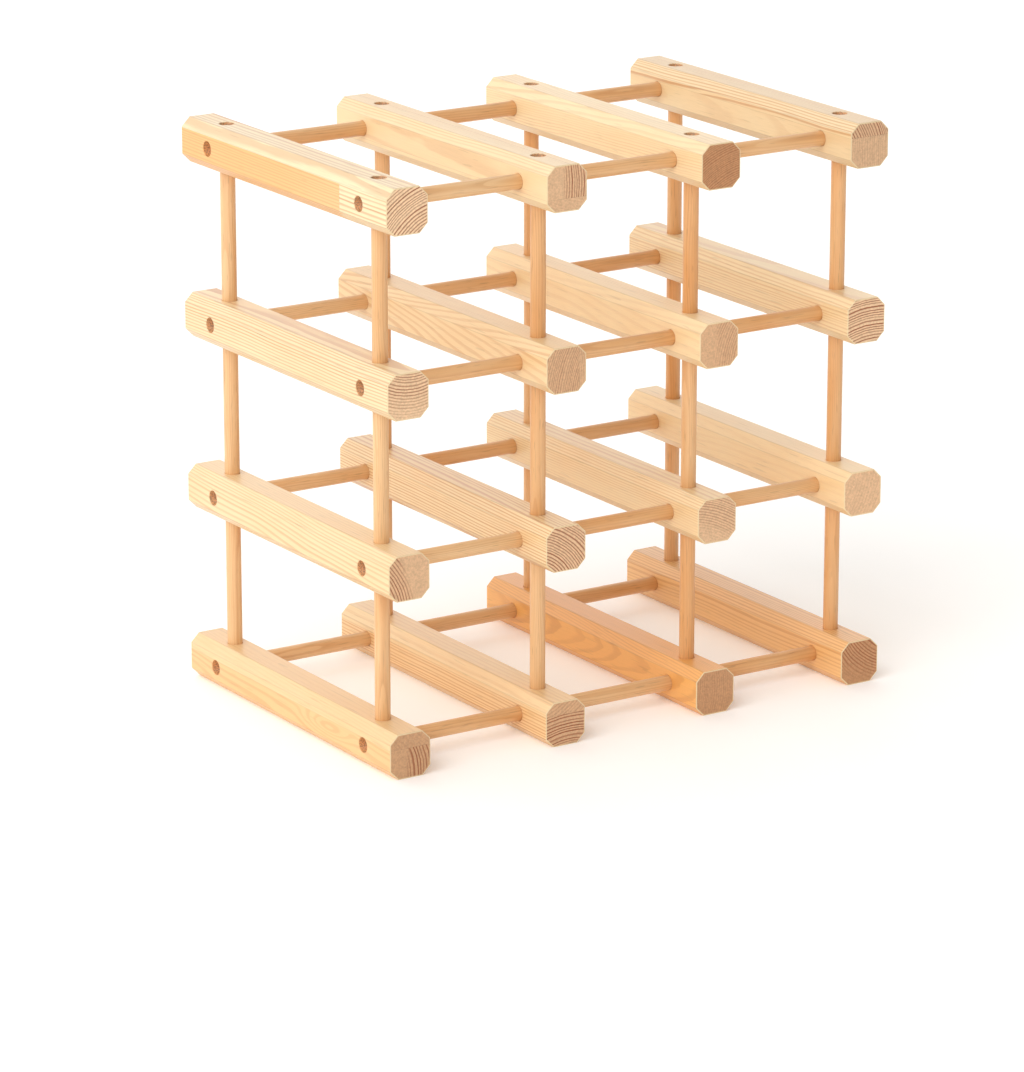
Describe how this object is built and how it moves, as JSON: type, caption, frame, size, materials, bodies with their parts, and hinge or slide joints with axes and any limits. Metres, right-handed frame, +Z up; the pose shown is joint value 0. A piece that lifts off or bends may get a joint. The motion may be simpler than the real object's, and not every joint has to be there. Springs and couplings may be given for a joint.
{
  "type": "wine rack",
  "caption": "Knock-down wooden wine rack: a square grid of chamfered rails joined beside and above each other by short round dowels in blind sockets.",
  "frame": {"origin": "on the ground under the middle of the rack: the centre of the bounding box's bottom face", "axes": "+X to the rack's right as seen from the front, across the columns; +Y from the front to the rear, along the rails; +Z up"},
  "size_m": [0.381, 0.254, 0.381],
  "materials": {
    "rail_pine": "plain sanded pine, pale cream to light honey, satin, with darker growth lines and pinkish end grain",
    "dowel_wood": "plain sanded dowel, warmer and a little darker than the rails, with fine straight grain"
  },
  "bodies": {
    "root": {"rail_col1_level1": "rail_pine", "rail_col1_level2": "rail_pine", "rail_col1_level3": "rail_pine", "rail_col1_level4": "rail_pine", "rail_col2_level1": "rail_pine", "rail_col2_level2": "rail_pine", "rail_col2_level3": "rail_pine", "rail_col2_level4": "rail_pine", "rail_col3_level1": "rail_pine", "rail_col3_level2": "rail_pine", "rail_col3_level3": "rail_pine", "rail_col3_level4": "rail_pine", "rail_col4_level1": "rail_pine", "rail_col4_level2": "rail_pine", "rail_col4_level3": "rail_pine", "rail_col4_level4": "rail_pine", "cross_dowels_bay1_level1": "dowel_wood", "cross_dowels_bay1_level2": "dowel_wood", "cross_dowels_bay1_level3": "dowel_wood", "cross_dowels_bay1_level4": "dowel_wood", "cross_dowels_bay2_level1": "dowel_wood", "cross_dowels_bay2_level2": "dowel_wood", "cross_dowels_bay2_level3": "dowel_wood", "cross_dowels_bay2_level4": "dowel_wood", "cross_dowels_bay3_level1": "dowel_wood", "cross_dowels_bay3_level2": "dowel_wood", "cross_dowels_bay3_level3": "dowel_wood", "cross_dowels_bay3_level4": "dowel_wood", "upright_dowel_col1_gap1_front": "dowel_wood", "upright_dowel_col1_gap1_rear": "dowel_wood", "upright_dowel_col1_gap2_front": "dowel_wood", "upright_dowel_col1_gap2_rear": "dowel_wood", "upright_dowel_col1_gap3_front": "dowel_wood", "upright_dowel_col1_gap3_rear": "dowel_wood", "upright_dowel_col2_gap1_front": "dowel_wood", "upright_dowel_col2_gap1_rear": "dowel_wood", "upright_dowel_col2_gap2_front": "dowel_wood", "upright_dowel_col2_gap2_rear": "dowel_wood", "upright_dowel_col2_gap3_front": "dowel_wood", "upright_dowel_col2_gap3_rear": "dowel_wood", "upright_dowel_col3_gap1_front": "dowel_wood", "upright_dowel_col3_gap1_rear": "dowel_wood", "upright_dowel_col3_gap2_front": "dowel_wood", "upright_dowel_col3_gap2_rear": "dowel_wood", "upright_dowel_col3_gap3_front": "dowel_wood", "upright_dowel_col3_gap3_rear": "dowel_wood", "upright_dowel_col4_gap1_front": "dowel_wood", "upright_dowel_col4_gap1_rear": "dowel_wood", "upright_dowel_col4_gap2_front": "dowel_wood", "upright_dowel_col4_gap2_rear": "dowel_wood", "upright_dowel_col4_gap3_front": "dowel_wood", "upright_dowel_col4_gap3_rear": "dowel_wood"}
  },
  "joints": []
}
